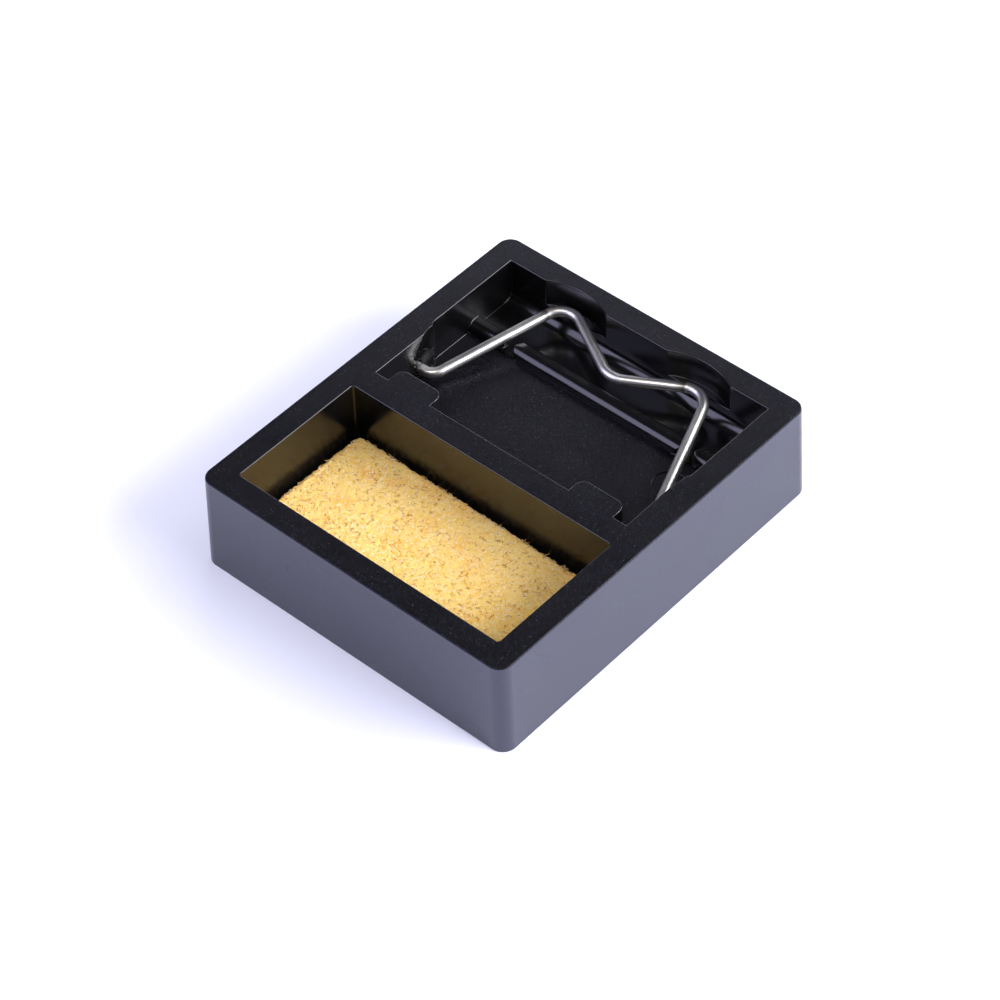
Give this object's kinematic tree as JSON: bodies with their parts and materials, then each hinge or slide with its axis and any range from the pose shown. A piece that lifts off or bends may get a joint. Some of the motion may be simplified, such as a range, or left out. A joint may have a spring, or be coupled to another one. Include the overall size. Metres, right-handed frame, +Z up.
{
  "type": "soldering iron stand",
  "caption": "Small rectangular bench stand: black moulded base with a sponge tray and a pocket, a fold-down M-shaped wire iron rest and a loose cleaning sponge.",
  "frame": {"origin": "centre of the base's underside, where the stand rests on the bench", "axes": "+Z up, +X along the sponge tray, +Y from the sponge tray towards the bracket pocket at the rear"},
  "size_m": [0.0778, 0.09, 0.0225],
  "materials": {
    "moulded_base": "black thermoset moulding, satin walls and a fine matte grain on top and on the pocket floor",
    "plated_wire": "bright nickel-plated steel wire with faint draw marks",
    "cellulose_sponge": "dry yellow cellulose sponge, open fibrous surface"
  },
  "bodies": {
    "base": {"base": "moulded_base"},
    "bracket": {"wire_bracket": "plated_wire"},
    "sponge": {"sponge": "cellulose_sponge"}
  },
  "joints": [
    {"name": "bracket_fold", "type": "hinge", "parent": "base", "child": "bracket", "pos_m": [0, 0.01045, 0.0142], "axis": [1, 0, 0], "range_deg": [0, 121]},
    {"name": "sponge_lift", "type": "slide", "parent": "base", "child": "sponge", "axis": [0, 0, 1], "range_m": [0, 0.03]}
  ]
}
